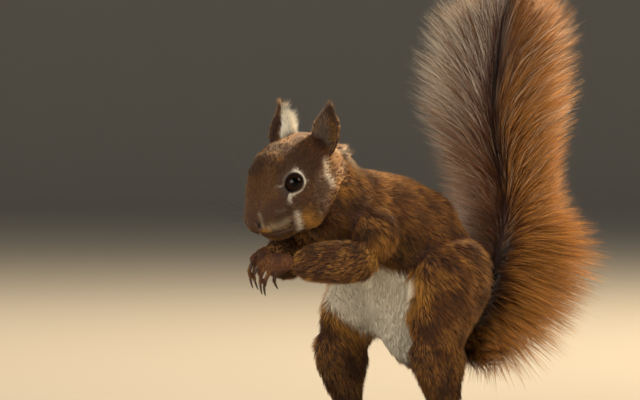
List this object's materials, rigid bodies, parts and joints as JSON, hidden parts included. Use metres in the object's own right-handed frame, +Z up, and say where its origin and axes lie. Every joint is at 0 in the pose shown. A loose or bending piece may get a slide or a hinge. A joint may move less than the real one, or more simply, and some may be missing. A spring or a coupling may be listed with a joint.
{
  "type": "red squirrel",
  "caption": "Life-size red squirrel standing up on its hind feet, forepaws held together under the chin and bushy tail raised, as a still museum model.",
  "frame": {"origin": "middle of the animal's box, on the floor under its hind feet", "axes": "+Z up; the animal faces -Y; +X to its left"},
  "size_m": [0.0996, 0.197, 0.233],
  "materials": {
    "coat": "matte",
    "tail_hair": "matte",
    "eye": "gloss",
    "claw": "satin"
  },
  "bodies": {
    "root": {"head": "coat", "neck": "coat", "chest": "coat", "belly": "coat", "thigh_left": "coat", "thigh_right": "coat", "shank_left": "coat", "shank_right": "coat", "foot_left": "coat", "foot_right": "coat", "upper_arm_left": "coat", "upper_arm_right": "coat", "forearm_left": "coat", "forearm_right": "coat", "hand_left": "coat", "hand_right": "coat", "ear_left": "coat", "ear_right": "coat", "tail_base": "tail_hair", "tail_lower": "tail_hair", "tail_upper": "tail_hair", "tail_tip": "tail_hair", "eye_left": "eye", "eye_right": "eye", "claw_fore_left_1": "claw", "claw_fore_left_2": "claw", "claw_fore_left_3": "claw", "claw_fore_left_4": "claw", "claw_fore_right_1": "claw", "claw_fore_right_2": "claw", "claw_fore_right_3": "claw", "claw_fore_right_4": "claw", "claw_hind_left_1": "claw", "claw_hind_left_2": "claw", "claw_hind_left_3": "claw", "claw_hind_left_4": "claw", "claw_hind_left_5": "claw", "claw_hind_right_1": "claw", "claw_hind_right_2": "claw", "claw_hind_right_3": "claw", "claw_hind_right_4": "claw", "claw_hind_right_5": "claw"}
  },
  "joints": []
}
